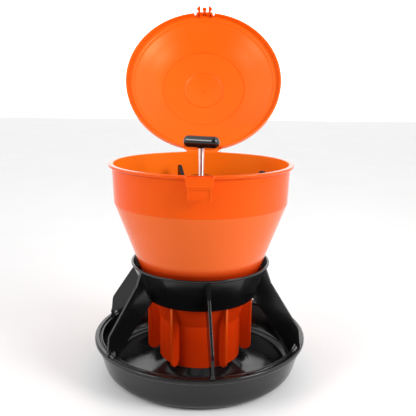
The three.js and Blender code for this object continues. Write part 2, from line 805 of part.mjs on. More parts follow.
const rod = new THREE.Group();
rod.rotation.z = radians(HANDLE_TURN);
place(rod, 'lock_rod', rodGeometry(), chrome);
place(rod, 't_handle', handleGeometry(), blackPlastic);
place(rod, 'handle_pin', geometryOf(acrossRod(HANDLE_PIN_RADIUS, 8.2, HANDLE_PIN_HEIGHT)), steel);
place(rod, 'washer_pin', geometryOf(acrossRod(WASHER_PIN_RADIUS, 7.6, WASHER_PIN_HEIGHT)), steel);
place(rod, 'toggle_bar', toggleGeometry(), steel);
place(rod, 'toggle_pin', geometryOf(acrossRod(TOGGLE_PIN_RADIUS, 4.3, TOGGLE_PIN_HEIGHT)), steel);
feeder.add(rod);

place(feeder, 'spring_washer', washerGeometry(), steel);
place(feeder, 'lock_spring', springGeometry(), steel);

export default feeder;
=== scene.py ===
"""Looks of the gravity poultry feeder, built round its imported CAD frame.

Sizes are in millimetres, and become metres when a mesh is made. Angles round the upright axis are
in degrees, from the front (-Y) towards +X. Outlines are (radius, height) unless said.
"""

import json
import math

import bmesh
import bpy
from mathutils import Matrix, Vector


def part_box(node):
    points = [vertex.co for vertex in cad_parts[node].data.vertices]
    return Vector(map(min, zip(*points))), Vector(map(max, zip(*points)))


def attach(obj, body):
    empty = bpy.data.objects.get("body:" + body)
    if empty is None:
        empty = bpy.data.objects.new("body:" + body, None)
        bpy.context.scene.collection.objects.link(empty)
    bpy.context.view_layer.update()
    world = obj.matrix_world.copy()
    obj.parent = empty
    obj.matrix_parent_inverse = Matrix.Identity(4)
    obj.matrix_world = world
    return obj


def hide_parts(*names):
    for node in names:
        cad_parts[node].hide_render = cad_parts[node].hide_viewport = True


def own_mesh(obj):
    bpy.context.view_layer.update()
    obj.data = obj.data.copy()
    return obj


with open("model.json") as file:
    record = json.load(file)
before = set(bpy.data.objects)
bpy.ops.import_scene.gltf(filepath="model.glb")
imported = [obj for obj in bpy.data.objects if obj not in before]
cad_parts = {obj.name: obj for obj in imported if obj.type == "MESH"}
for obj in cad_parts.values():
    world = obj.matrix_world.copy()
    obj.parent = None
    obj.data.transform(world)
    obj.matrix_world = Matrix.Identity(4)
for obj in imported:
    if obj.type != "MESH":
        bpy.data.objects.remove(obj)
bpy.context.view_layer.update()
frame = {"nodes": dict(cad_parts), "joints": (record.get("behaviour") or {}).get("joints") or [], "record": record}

# ---------------------------------------------------------------- sizes

MM = 0.001


def span(node):
    """Lowest and highest corner of a CAD node, in millimetres."""
    low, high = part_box(node)
    return low / MM, high / MM


def joint(name):
    return next(j for j in frame["joints"] if j["name"] == name)


SIDES = 192  # sides of the large turned pieces
SMALL_SIDES = 48  # sides of pins, rods and bores
WIRE_SIDES = 16  # sides of the spring's wire
SHARP_ANGLE = 38  # edges that bend more than this stay crisp

TRAY_RADIUS = span("tray")[1].x
TRAY_TOP = 52
SPIGOT_RADIUS = 9
SPIGOT_BORE = 4.5
SPIGOT_TOP = 66
SPIGOT_BOTTOM = 10.3
KEY_ANGLES = (90, 270)
KEY_RADIUS = 10.2
KEY_WIDTH = 3
KEY_BOTTOM = 34

COLLAR_BOTTOM = span("collar")[0].z
COLLAR_TOP = span("collar")[1].z
COLLAR_BOTTOM_RADIUS = 78
COLLAR_TOP_RADIUS = 97
COLLAR_WALL = 2.5

DIVIDERS = [node for node in sorted(frame["nodes"]) if node.startswith("divider_")]
DIVIDER_FIRST_ANGLE = 7
DIVIDER_THICKNESS = 3.8
SOCKET_THICKNESS = 5
POCKET_THICKNESS = 4.2

SPOUT_RADIUS = 57.8
SPOUT_BOTTOM = span("hopper")[0].z
CONE_BOTTOM = 79.5
SHOULDER_RADIUS = 119
SHOULDER_HEIGHT = 244
RIM_RADIUS = 121
LIP_RADIUS = 125.7
LIP_NOTCH = 17  # half of the gap in the lip, where the latch pocket stands
HOPPER_TOP = 296.4
HOPPER_WALL = 2.5
FIN_COUNT = 6
FIN_FIRST_ANGLE = 30
FIN_RADIUS = 74.5
FIN_BOTTOM = 22
FIN_THICKNESS = 4

RAMP_COUNT = 3
RAMP_REACH = 5.2
RAMP_RISE = frame["record"]["behaviour"]["couplings"][0]["ratio"] / MM  # per radian of turn
RAMP_ANGLE = 127  # where the first lug rests
RAMP_LEAD = 4  # degrees of ramp before a lug
RAMP_THICKNESS = 3
STOP_HEIGHT = 5.6
LUG_HALF_ANGLE = 4
LUG_BOTTOM = 134
LUG_HEIGHT = 6
TURN_RANGE = joint("hopper_turn")["range_deg"][1]

POCKET_BOTTOM = 283.4
POCKET_HALF_WIDTHS = (15.35, 17.25)  # at its bottom and at its top
PANEL_BOTTOM, PANEL_TOP = 269.2, 283.8
PANEL_HALF_WIDTH = 14.4
BRACKET_FRONT, BRACKET_BACK = -133.5, -131.5  # Y of the latch bracket's faces

HINGE = Vector(joint("lid_hinge")["pos_m"]) / MM
LID_OPEN_ANGLE = joint("lid_hinge")["range_deg"][1]
PIN_RADIUS = 2
TAB_HALF_WIDTH = 23
EAR_INNER = 23.4
EAR_OUTER = 28.2
LEDGE_BOTTOM = 281
LEDGE_REACH = 134.5

LID_RADIUS = span("lid")[1].x
LID_SEAT = 296.7
LID_WALL = 2.5
LID_DOME_RADIUS = 117
DOME_STEPS = (33.5, 70.5)  # radius of the two rings inside the dome
DOME_STEP_HEIGHT = 0.35
LID_SKIRT_BOTTOM = 290
LATCH_NOTCH = 17.6
HINGE_NOTCH = 31.5
PRONG_LENGTH = 24

CROSS_FIRST_ANGLE = 21.1
CROSS_ARMS = 4
ARM_THICKNESS = 5
POST_TOP = span("hold_down_cross")[1].z
POST_OUTER = 97
POST_INNER = 90.5
TUBE_RADIUS = 11.5
TUBE_BORE = 9.3
TUBE_BOTTOM = span("hold_down_cross")[0].z
TUBE_TOP = 270
CAP_RADIUS = 16
CAP_TOP = span("tube_cap")[1].z + 1.6

ROD_RADIUS = 4
HANDLE_TURN = -25
HANDLE_BOTTOM, HANDLE_TOP = span("t_handle")[0].z, span("t_handle")[1].z
HANDLE_LENGTH = 52
HANDLE_DEPTH = 17
WASHER_BOTTOM, WASHER_TOP = span("spring_washer")[0].z, span("spring_washer")[1].z
SPRING_TURNS = 7
SPRING_RADIUS = 6.6  # to the middle of the wire
SPRING_WIRE = 0.8  # radius of the wire
CLOSED_TURNS = 0.75  # turns at each end that climb slowly
TOGGLE_BOTTOM, TOGGLE_TOP = span("toggle_bar")[0].z, span("toggle_bar")[1].z
TOGGLE_LENGTH = 46
TOGGLE_WIDTH = 9
GAP = 0.3  # between pieces that would touch

# ---------------------------------------------------------------- outlines


def rounded(corners, steps=4):
    """Points of a closed outline. A corner is (x, y) or (x, y, how far its rounding reaches)."""
    points = []
    count = len(corners)
    for i, corner in enumerate(corners):
        here = Vector(corner[:2])
        if len(corner) < 3:
            points.append(here)
            continue
        before = Vector(corners[i - 1][:2]) - here
        after = Vector(corners[(i + 1) % count][:2]) - here
        start = here + before.normalized() * min(corner[2], 0.48 * before.length)
        end = here + after.normalized() * min(corner[2], 0.48 * after.length)
        for k in range(steps + 1):
            t = k / steps
            points.append((1 - t) ** 2 * start + 2 * t * (1 - t) * here + t * t * end)
    return points


def rectangle(left, low, right, high, reach, steps=4):
    """A closed rectangle whose four corners are rounded alike."""
    corners = [(left, low, reach), (right, low, reach), (right, high, reach), (left, high, reach)]
    return rounded(corners, steps)


def smooth_line(knots, steps=6):
    """A smooth curve through the knots (Catmull-Rom)."""
    knots = [Vector(knot) for knot in knots]
    ends = [2 * knots[0] - knots[1], *knots, 2 * knots[-1] - knots[-2]]
    points = []
    for a, b, c, d in zip(ends, ends[1:], ends[2:], ends[3:]):
        for k in range(steps):
            t = k / steps
            points.append(
                0.5 * (2 * b + (c - a) * t + (2 * a - 5 * b + 4 * c - d) * t**2)
                + 0.5 * (3 * b - a - 3 * c + d) * t**3
            )
    return points + [knots[-1]]


def arc(centre, radius, start, end, steps=16):
    """Points of an arc, from one angle to another in degrees."""
    turns = [math.radians(start + (end - start) * k / steps) for k in range(steps + 1)]
    return [Vector(centre) + radius * Vector((math.cos(a), math.sin(a))) for a in turns]


def inset(outline, distance):
    """The closed outline moved inwards by distance."""
    count = len(outline)
    area = sum(outline[i - 1].cross(outline[i]) for i in range(count))
    inward = math.copysign(1, area)
    moved = []
    for i in range(count):
        before = (outline[i] - outline[i - 1]).normalized()
        after = (outline[(i + 1) % count] - outline[i]).normalized()
        normal = Vector((-before.y - after.y, before.x + after.x))
        moved.append(outline[i] + inward * distance * normal / (1 + before.dot(after)))
    return moved


# ---------------------------------------------------------------- solids


def flat_on(angle):
    """Places a plate upright on a radius: its X runs outwards, its Y across and its Z up."""
    return Matrix.Rotation(math.radians(angle - 90), 4, "Z")


FACING_FRONT = Matrix.Identity(4)
FACING_SIDE = Matrix(((0, -1, 0, 0), (1, 0, 0, 0), (0, 0, 1, 0), (0, 0, 0, 1)))
LYING_UP = Matrix(((1, 0, 0, 0), (0, 0, 1, 0), (0, 1, 0, 0), (0, 0, 0, 1)))
ALONG_X = Matrix(((0, 0, 1, 0), (1, 0, 0, 0), (0, 1, 0, 0), (0, 0, 0, 1)))


def shift(x=0, y=0, z=0):
    return Matrix.Translation((x, y, z))


def plate(bm, outline, near, far, place=FACING_FRONT, edge=0.6, steps=3):
    """A plate with rounded edges. Its outline is (x, z), and it reaches from y = near to far."""
    quarter = [math.pi / 2 * k / steps for k in range(steps + 1)]
    # Each layer is how far the outline is drawn in, and its y.
    layers = [(edge * (1 - math.sin(a)), near + edge * (1 - math.cos(a))) for a in quarter]
    layers += [(in_by, near + far - y) for in_by, y in reversed(layers)]
    rings = [
        [bm.verts.new(place @ Vector((p.x, y, p.y))) for p in inset(outline, in_by)]
        for in_by, y in layers
    ]
    count = len(outline)
    for ring, following in zip(rings, rings[1:]):
        for i in range(count):
            bm.faces.new((ring[i - 1], ring[i], following[i], following[i - 1]))
    bm.faces.new(rings[0])
    bm.faces.new(rings[-1])


def turn(bm, outline, sides=SIDES, first=0, sweep=360, place=FACING_FRONT, climb=(0, 0)):
    """A solid turned from a closed outline. climb moves the outline out and up per radian."""
    whole = sweep == 360
    poles = {}
    rings = []
    for k in range(sides if whole else sides + 1):
        swept = math.radians(sweep * k / sides)
        angle = math.radians(first) + swept
        ring = []
        for i, point in enumerate(outline):
            radius = point[0] + climb[0] * swept
            height = point[1] + climb[1] * swept
            spot = Vector((radius * math.sin(angle), -radius * math.cos(angle), height))
            on_axis = radius < 1e-6
            vertex = poles.get(i) if on_axis else None
            if vertex is None:
                vertex = bm.verts.new(place @ spot)
            if on_axis:
                poles[i] = vertex
            ring.append(vertex)
        rings.append(ring)
    pairs = list(zip(rings, rings[1:])) + ([(rings[-1], rings[0])] if whole else [])
    for ring, following in pairs:
        for i in range(len(outline)):
            corners = [ring[i - 1], ring[i], following[i], following[i - 1]]
            distinct = list(dict.fromkeys(corners))
            if len(distinct) > 2:
                bm.faces.new(distinct)
    if not whole:
        bm.faces.new(rings[0])
        bm.faces.new(rings[-1])


def tube(bm, path, radius):
    """A round bar along a path of points, with flat ends."""
    turns = [2 * math.pi * k / WIRE_SIDES for k in range(WIRE_SIDES)]
    rings = []
    for i, point in enumerate(path):
        ahead = path[min(i + 1, len(path) - 1)] - path[max(i - 1, 0)]
        side = ahead.cross(Vector((0, 0, 1))).normalized()
        up = side.cross(ahead).normalized()
        around = [math.cos(a) * side + math.sin(a) * up for a in turns]
        rings.append([bm.verts.new(point + radius * outward) for outward in around])
    for ring, following in zip(rings, rings[1:]):
        for i in range(WIRE_SIDES):
            bm.faces.new((ring[i - 1], ring[i], following[i], following[i - 1]))
    bm.faces.new(rings[0])
    bm.faces.new(rings[-1])


def spaced(count, first):
    """Angles of count things that stand evenly round the axis."""
    return [first + 360 * i / count for i in range(count)]


def piece(name, bm, material, body, nodes, painted_light_lining=None):
    """Turns the mesh into an object that rides on a body and stands for its CAD nodes.

    The optional second material goes on the walls that face the object's upright axis. The hopper gets a brighter
    copy of its orange there, which paints light on its inner walls.
    """
    bmesh.ops.recalc_face_normals(bm, faces=bm.faces)
    bmesh.ops.scale(bm, vec=(MM, MM, MM), verts=bm.verts)
    mesh = bpy.data.meshes.new(name)
    bm.to_mesh(mesh)
    bm.free()
    mesh.shade_smooth()
    mesh.set_sharp_from_angle(angle=math.radians(SHARP_ANGLE))
    mesh.materials.append(material)
    if painted_light_lining:
        mesh.materials.append(painted_light_lining)
        for face in mesh.polygons:
            outwards = Vector((face.center.x, face.center.y, 0)).normalized()
            face.material_index = int(face.normal.dot(outwards) < -0.5)
    made = bpy.data.objects.new(name, mesh)
    bpy.context.scene.collection.objects.link(made)
    normals = made.modifiers.new("even shading", "WEIGHTED_NORMAL")
    normals.keep_sharp = True
    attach(made, body)
    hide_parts(*nodes)
    return made


# ---------------------------------------------------------------- walls that several pieces share

CONE_SLOPE = (SHOULDER_RADIUS - SPOUT_RADIUS) / (SHOULDER_HEIGHT - CONE_BOTTOM)
COLLAR_SLOPE = (COLLAR_TOP_RADIUS - COLLAR_BOTTOM_RADIUS) / (COLLAR_TOP - COLLAR_BOTTOM)


def cone_outer(z):
    return SPOUT_RADIUS + (z - CONE_BOTTOM) * CONE_SLOPE


def cone_inner(z):
    return cone_outer(z) - HOPPER_WALL * math.hypot(1, CONE_SLOPE)


def collar_outer(z):
    return COLLAR_BOTTOM_RADIUS + (z - COLLAR_BOTTOM) * COLLAR_SLOPE


def collar_inner(z):
    return collar_outer(z) - COLLAR_WALL


# ---------------------------------------------------------------- materials


class Nodes:
    """A small helper that adds nodes to a material and links them."""

    def __init__(self, name):
        self.material = bpy.data.materials.new(name)
        self.material.use_nodes = True
        self.tree = self.material.node_tree
        self.shader = self.tree.nodes["Principled BSDF"]
        self.place = self.tree.nodes.new("ShaderNodeTexCoord").outputs["Object"]

    def add(self, kind, links=None, **settings):
        """A new node. Each setting is a property of the node or the value of one of its inputs."""
        node = self.tree.nodes.new(kind)
        for key, value in settings.items():
            if hasattr(node, key):
                setattr(node, key, value)
            else:
                node.inputs[key.replace("_", " ")].default_value = value
        for key, source in (links or {}).items():
            self.tree.links.new(source, node.inputs[key])
        return node

    def noise(self, scale, detail=3.0, stretch=(1, 1, 1)):
        """Noise from about 0 to 1: scale is features per metre, and stretch acts on each axis."""
        mapping = self.add("ShaderNodeMapping", {"Vector": self.place}, vector_type="POINT")
        mapping.inputs["Scale"].default_value = stretch
        noise = self.add("ShaderNodeTexNoise", {"Vector": mapping.outputs["Vector"]})
        noise.inputs["Scale"].default_value = scale
        noise.inputs["Detail"].default_value = detail
        return noise.outputs["Fac"]

    def between(self, value, low, high, start=0.3, end=0.7):
        """value, remapped so that start gives low and end gives high."""
        node = self.add("ShaderNodeMapRange", {"Value": value})
        for key, number in (
            ("From Min", start),
            ("From Max", end),
            ("To Min", low),
            ("To Max", high),
        ):
            node.inputs[key].default_value = number
        return node.outputs["Result"]

    def mix(self, factor, first, second):
        """A colour between first and second, each a colour or another node's output."""
        node = self.add("ShaderNodeMix", data_type="RGBA")
        self.tree.links.new(factor, node.inputs["Factor"])
        for index, colour in ((6, first), (7, second)):
            if isinstance(colour, tuple):
                node.inputs[index].default_value = (*colour, 1)
            else:
                self.tree.links.new(colour, node.inputs[index])
        return node.outputs[2]

    def bump(self, height, strength, distance, below=None):
        node = self.add("ShaderNodeBump", {"Height": height})
        node.inputs["Strength"].default_value = strength
        node.inputs["Distance"].default_value = distance
        if below:
            self.tree.links.new(below, node.inputs["Normal"])
        return node.outputs["Normal"]

    def finish(self, colour, roughness, normal, **settings):
        """Links the shader's main inputs, sets its other ones, and returns the material."""
        for key, source in (("Base Color", colour), ("Roughness", roughness), ("Normal", normal)):
            self.tree.links.new(source, self.shader.inputs[key])
        for key, value in settings.items():
            self.shader.inputs[key.replace("_", " ")].default_value = value
        return self.material


def moulded_orange(name, colour, deep, roughness, shade_and_sheen_by_height=(), blue_gloss=0.25):
    """Orange polypropylene: faint flow marks, soft sink waves, and a painted highlight that makes sharp edges
    paler.

    deep is the colour of the darker flow marks. The height list holds (from z, to z, colour) in metres:
    the tone changes to each colour in turn, which paints shade and sheen by height. blue_gloss is how much blue
    the reflections keep.
    """
    n = Nodes(name)
    cloud = n.noise(14, 2, (1, 1, 0.35))
    tone = n.mix(n.between(cloud, 0, 1), deep, colour)
    height = n.add("ShaderNodeSeparateXYZ", {"Vector": n.place}).outputs["Z"]
    # Painted shade and sheen: the tone changes with height, as listed.
    for low, high, other in shade_and_sheen_by_height:
        shade = n.mix(n.between(cloud, 0, 1), tuple(0.93 * c for c in other), other)
        tone = n.mix(n.between(height, 0, 1, low, high), tone, shade)
    # Painted highlight: sharp convex edges are made paler, as if they catch the light.
    pointed = n.add("ShaderNodeNewGeometry").outputs["Pointiness"]
    edge = n.between(pointed, 0, 0.24, 0.52, 0.62)
    tone = n.mix(edge, tone, EDGE_HIGHLIGHT_TONE)
    rough = n.between(n.noise(22, 1), roughness - 0.05, roughness + 0.01, 0, 1)
    waves = n.bump(n.noise(9, 0), 0.1, 0.0003)
    normal = n.bump(n.noise(420, 1), 0.05, 0.00004, waves)
    return n.finish(tone, rough, normal, IOR=1.38, Specular_Tint=(1, 0.95, blue_gloss, 1))


def moulded_black(name, colour, roughness, waviness, ior=1.43):
    """Glossy black polypropylene: soft waves, hairline scuffs and a little dust."""
    n = Nodes(name)
    dust = n.between(n.noise(1400, 2), 0, 1, 0.72, 0.8)
    tone = n.mix(dust, colour, tuple(6 * c + 0.01 for c in colour))
    smear = n.between(n.noise(35, 5), roughness - 0.03, roughness + 0.07)
    waves = n.bump(n.noise(26, 1), waviness, 0.0008)
    hairs = n.noise(160, 3, (1, 1, 14))
    normal = n.bump(hairs, 0.06, 0.00008, waves)
    return n.finish(tone, smear, normal, IOR=ior)


def bright_metal(name, colour, roughness, streak, spread=0.0):
    """Plated metal with fine marks, squeezed by streak.

    spread stretches its highlights along the piece's Z, for which the tangent is turned a quarter.
    """
    n = Nodes(name)
    lines = n.noise(260, 4, streak)
    tone = n.mix(n.between(lines, 0, 1), tuple(0.86 * c for c in colour), colour)
    rough = n.between(lines, roughness, roughness + 0.1)
    normal = n.bump(lines, 0.08, 0.00005)
    around = n.add("ShaderNodeTangent", direction_type="RADIAL", axis="Z")
    n.tree.links.new(around.outputs["Tangent"], n.shader.inputs["Tangent"])
    settings = {"Metallic": 1.0, "Anisotropic": spread, "Anisotropic Rotation": 0.25}
    return n.finish(tone, rough, normal, **settings)


# Colour of the painted highlight on sharp edges.
EDGE_HIGHLIGHT_TONE = (0.95, 0.19, 0.02)
# The hopper's orange changes by height. The spout tone is painted shade, darker below the collar. The cone tone is
# a painted sheen, paler where the cone reflects the floor. The band tone is the orange above the shoulder.
SPOUT_PAINTED_SHADE = (0.6, 0.034, 0.002)
CONE_PAINTED_SHEEN = (0.79, 0.114, 0.021)
BAND_TONE = (0.78, 0.07, 0.002)
orange = moulded_orange(
    "hopper orange",
    SPOUT_PAINTED_SHADE,
    (0.56, 0.03, 0.002),
    0.2,
    [(0.158, 0.174, CONE_PAINTED_SHEEN), (0.2428, 0.2436, BAND_TONE)],
)
# Painted light: the hopper's inner walls get a brighter, yellower copy of its orange.
inside_painted_light_orange = moulded_orange("hopper inside painted light", (0.95, 0.17, 0.006), (0.93, 0.15, 0.005), 0.34)
# Painted light: the lid's orange is made brighter and yellower than the hopper's, to stand for the stronger light
# on the lid.
lid_painted_light_orange = moulded_orange(
    "lid orange painted light", (0.93, 0.134, 0.004), (0.9, 0.121, 0.003), 0.36, blue_gloss=0.5
)
black = moulded_black("tray black", (0.0045, 0.0045, 0.005), 0.13, 0.3)
cross_black = moulded_black("cross black", (0.006, 0.005, 0.005), 0.2, 0.2)
grip_black = moulded_black("grip black", (0.006, 0.006, 0.007), 0.09, 0.15, ior=1.6)
chrome = bright_metal("plated rod", (0.9, 0.9, 0.92), 0.29, (1, 1, 0.05), spread=0.9)
steel = bright_metal("zinc steel", (0.6, 0.61, 0.63), 0.3, (1, 1, 1))

# ---------------------------------------------------------------- tray


def make_tray():
    under = smooth_line([(18, 25.2), (28, 20.2), (40, 12.6), (51, 5.4), (58, 0)])
    bowl = smooth_line(
        [(121, 0), (128.8, 2.1), (134.2, 7), (137.4, 14), (140.6, 25), (144, 36), (147.4, 46.6)]
    )
    rim = rounded(
        [
            (147.4, 46.6),
            (TRAY_RADIUS, 46.9, 0.5),
            (TRAY_RADIUS, TRAY_TOP + 0.2, 4.6),
            (143.4, TRAY_TOP - 0.2, 1),
            (142.4, TRAY_TOP - 2.8, 0.7),
            (141, TRAY_TOP - 2.6, 0.6),
            (140.8, TRAY_TOP - 0.9, 0.8),
            (138.6, TRAY_TOP - 0.9, 0.9),
            (138.4, TRAY_TOP - 5, 1),
            (143.2, TRAY_TOP - 6.6, 0.6),
        ]
    )[1:]
    inside = smooth_line(
        [(141.4, 37), (137.9, 25), (134.8, 15), (131.8, 9), (126.6, 4.8), (119.6, 3)]
    )
    dome = smooth_line(
        [(74, 3), (66, 3.8), (59, 6.2), (51, 10.2), (40, 16.6), (28, 23.8), (18, 28.4)]
    )
    spigot = [
        (SPIGOT_RADIUS + 1, 29.6),
        (SPIGOT_RADIUS, 31),
        (SPIGOT_RADIUS, SPIGOT_TOP - 0.8),
        (SPIGOT_RADIUS - 0.8, SPIGOT_TOP),
        (SPIGOT_BORE, SPIGOT_TOP),
        (SPIGOT_BORE, SPIGOT_BOTTOM),
        (SPIGOT_RADIUS, SPIGOT_BOTTOM),
        (SPIGOT_RADIUS, 27),
    ]
    bm = bmesh.new()
    turn(bm, [*under, *bowl[:-1], *rim, *inside, *dome, *spigot])
    key = rectangle(SPIGOT_RADIUS - 2, KEY_BOTTOM, KEY_RADIUS, SPIGOT_TOP - 2, 0.4)
    for angle in KEY_ANGLES:
        plate(bm, key, -KEY_WIDTH / 2, KEY_WIDTH / 2, flat_on(angle), 0.3)
    piece("feed_tray", bm, black, "frame", ["tray"])


# ---------------------------------------------------------------- collar and dividers


def cheek_outline():
    """The side wall of a divider's socket, which stands out round the divider's corner."""
    rim = 1.2
    top = 156 + rim
    return [
        (collar_outer(114) - 1, 114 - rim),
        (100, 130 - rim, 1.5),
        (104.2 + rim, 137 - rim, 1.2),
        (collar_outer(top) + 0.4 + rim * 0.4, top, 1),
        (collar_outer(top) - 1, top),
    ]


def socket_front_outline():
    """The thin wall that closes a socket in front of its divider."""
    wall = 0.9
    lower, knee, top = (100, 128.8), (105.4, 135.8), (collar_outer(157.2) + 0.9, 157.2)
    return [
        lower,
        knee,
        top,
        (top[0] - wall - 1.2, top[1]),
        (knee[0] - wall, knee[1] + 1.2),
        (lower[0] - wall, lower[1] + 1.2),
    ]


def add_sockets(bm):
    """Two cheeks and a front wall for each divider."""
    cheek = rounded(cheek_outline())
    front = rounded(socket_front_outline())
    outer, inner = SOCKET_THICKNESS / 2, POCKET_THICKNESS / 2
    for angle in spaced(len(DIVIDERS), DIVIDER_FIRST_ANGLE):
        place = flat_on(angle)
        plate(bm, cheek, -outer, -inner, place, 0.25, 2)
        plate(bm, cheek, inner, outer, place, 0.25, 2)
        plate(bm, front, -outer, outer, place, 0.5)


def add_ramps(bm):
    """Three ledges inside the collar that lift the hopper's lugs as it turns, each with a stop."""
    for lug_angle in spaced(RAMP_COUNT, RAMP_ANGLE):
        start = lug_angle - LUG_HALF_ANGLE - RAMP_LEAD
        top = LUG_BOTTOM - GAP + math.radians(start - lug_angle) * RAMP_RISE
        wall = collar_inner(top)
        ledge = rounded(
            [
                (wall - RAMP_REACH - 1, top - RAMP_THICKNESS, 0.5),
                (wall + 1, top - RAMP_THICKNESS),
                (wall + 1, top),
                (wall - RAMP_REACH, top, 0.5),
            ]
        )
        sweep = TURN_RANGE + 2 * LUG_HALF_ANGLE + 6
        turn(bm, ledge, 40, start, sweep, climb=(RAMP_RISE * COLLAR_SLOPE, RAMP_RISE))
        stop = rounded(
            [
                (wall - RAMP_REACH - 1, top - RAMP_THICKNESS, 0.5),
                (wall + 1, top - RAMP_THICKNESS),
                (wall + 2, top + STOP_HEIGHT),
                (wall - RAMP_REACH + 2, top + STOP_HEIGHT, 0.8),
            ]
        )
        turn(bm, stop, 8, start, 3.6)


def make_collar():
    bm = bmesh.new()
    ring = rounded(
        [
            (collar_inner(COLLAR_BOTTOM), COLLAR_BOTTOM, 0.8),
            (COLLAR_BOTTOM_RADIUS, COLLAR_BOTTOM, 0.8),
            (collar_outer(155.4) - 0.5, 155.4, 0.5),
            (COLLAR_TOP_RADIUS + 0.2, 156.2, 0.6),
            (COLLAR_TOP_RADIUS + 0.2, COLLAR_TOP, 1.1),
            (COLLAR_TOP_RADIUS - COLLAR_WALL, COLLAR_TOP, 0.9),
        ]
    )
    turn(bm, ring)
    add_sockets(bm)
    add_ramps(bm)
    piece("tray_collar", bm, black, "frame", ["collar"])


def divider_outline():
    foot = TRAY_TOP + GAP
    return [
        (collar_outer(113) + 0.4, 113),
        (107, 81.5, 3),
        (114.5, 72, 3),
        (131, 51, 1),
        (132.4, 48.4, 1),
        (136, 48.4, 1),
        (136.4, 53, 1.5),
        (140.5, 58.6, 3),
        (145.6, foot),
        (149.4, foot, 0.6),
        (146.5, 78.4, 5),
        (106.2, 136.6, 0.6),
        (104.2, 137.8, 0.6),
        (collar_outer(155) + 1.4, 152, 0.5),
        (collar_outer(152) + 0.4, 152),
    ]


def make_dividers():
    foot = TRAY_TOP + GAP
    flare = rounded(
        [
            (-3.4, foot, 0.5),
            (3.4, foot, 0.5),
            (3, foot + 2, 1.6),
            (1.9, foot + 6, 3),
            (-1.9, foot + 6, 3),
            (-3, foot + 2, 1.6),
        ]
    )
    for node, angle in zip(DIVIDERS, spaced(len(DIVIDERS), DIVIDER_FIRST_ANGLE)):
        bm = bmesh.new()
        half = DIVIDER_THICKNESS / 2
        plate(bm, rounded(divider_outline()), -half, half, flat_on(angle), 0.7)
        outwards = Matrix.Rotation(math.radians(angle), 4, "Z")
        plate(bm, flare, -149.6, -147.4, outwards, 0.6)
        piece(f"feed_{node}", bm, black, "frame", [node])


# ---------------------------------------------------------------- hopper


def fin_outline():
    half = (FIN_RADIUS - SPOUT_RADIUS) / 2
    top = CONE_BOTTOM + (FIN_RADIUS - SPOUT_RADIUS) / CONE_SLOPE
    bottom = arc((SPOUT_RADIUS + half, FIN_BOTTOM + half), half, 180, 360)
    return [
        Vector((SPOUT_RADIUS - 1.2, CONE_BOTTOM + 2)),
        Vector((SPOUT_RADIUS - 1.2, FIN_BOTTOM + half)),
        *bottom,
        Vector((FIN_RADIUS, top)),
        Vector((cone_outer(top) - 1.2, top)),
    ]


def add_latch_pocket(bm):
    """The pocket that the lid's clip drops into: a front wall and two leaning side walls."""
    low, high = POCKET_HALF_WIDTHS
    front = rounded(
        [
            (-low, POCKET_BOTTOM, 0.5),
            (low, POCKET_BOTTOM, 0.5),
            (high, HOPPER_TOP, 1.2),
            (-high, HOPPER_TOP, 1.2),
        ]
    )
    plate(bm, front, BRACKET_FRONT, BRACKET_BACK, edge=0.7)
    wall = rounded(
        [
            (BRACKET_FRONT + 1, POCKET_BOTTOM, 0.4),
            (BRACKET_FRONT + 1, HOPPER_TOP, 0.8),
            (-119.5, HOPPER_TOP),
            (-119.5, POCKET_BOTTOM),
        ]
    )
    slope = (high - low) / (HOPPER_TOP - POCKET_BOTTOM)
    start = low - slope * POCKET_BOTTOM - 1.1
    for side in (-1, 1):
        leaning = ((1, 0, side * slope, side * start), (0, 1, 0, 0), (0, 0, 1, 0), (0, 0, 0, 1))
        plate(bm, wall, -1, 1, Matrix(leaning) @ FACING_SIDE, 0.5)


def add_latch_panel(bm):
    """The framed panel under the pocket, with a web behind each side."""
    half = PANEL_HALF_WIDTH
    for side in (-1, 1):
        outer, inner = side * half, side * (half - 2.6)
        upright = rounded(
            [
                (inner, PANEL_BOTTOM),
                (outer, PANEL_BOTTOM, 0.8),
                (outer, PANEL_TOP, 0.4),
                (inner, PANEL_TOP),
            ]
        )
        plate(bm, upright, BRACKET_FRONT - 0.4, BRACKET_BACK, edge=0.6)
    for low, high in ((PANEL_BOTTOM, PANEL_BOTTOM + 2.4), (PANEL_TOP - 2.4, PANEL_TOP)):
        bar = rectangle(-half, low, half, high, 0.8)
        plate(bm, bar, BRACKET_FRONT - 0.3, BRACKET_BACK - 0.1, edge=0.7)
    sheet = rectangle(-12.4, PANEL_BOTTOM + 0.8, 12.4, PANEL_TOP - 0.8, 0.3)
    plate(bm, sheet, BRACKET_FRONT + 0.6, BRACKET_BACK - 0.2, edge=0.2)
    web = rounded([(-132, 270, 0.4), (-132, 284, 0.4), (-119.8, 290), (-119.8, 284)])
    for side in (-1, 1):
        plate(bm, web, -0.5, 0.5, shift(side * (half - 0.45)) @ FACING_SIDE, 0.3)


def add_hinge_bracket(bm):
    """Two ears for the hinge pin, joined by a ledge."""
    wall = RIM_RADIUS - 2
    y, z = HINGE.y, HINGE.z
    ear = rounded(
        [
            (wall, LEDGE_BOTTOM),
            (LEDGE_REACH, LEDGE_BOTTOM, 2),
            (y + 3.6, z - 4, 3),
            (y + 3.6, z + 0.6, 3),
            (y, z + 2.4, 3),
            (y - 5, z + 0.6, 3),
            (wall, z + 0.6),
        ]
    )
    for side in (-1, 1):
        near, far = sorted((side * EAR_INNER, side * EAR_OUTER))
        plate(bm, ear, -far, -near, FACING_SIDE, 0.6)
    ledge = rounded(
        [
            (wall, LEDGE_BOTTOM),
            (LEDGE_REACH, LEDGE_BOTTOM, 0.8),
            (LEDGE_REACH, LEDGE_BOTTOM + 4.4, 0.8),
            (wall, LEDGE_BOTTOM + 4.4),
        ]
    )
    plate(bm, ledge, -EAR_INNER - 1, EAR_INNER + 1, FACING_SIDE, 0.3)


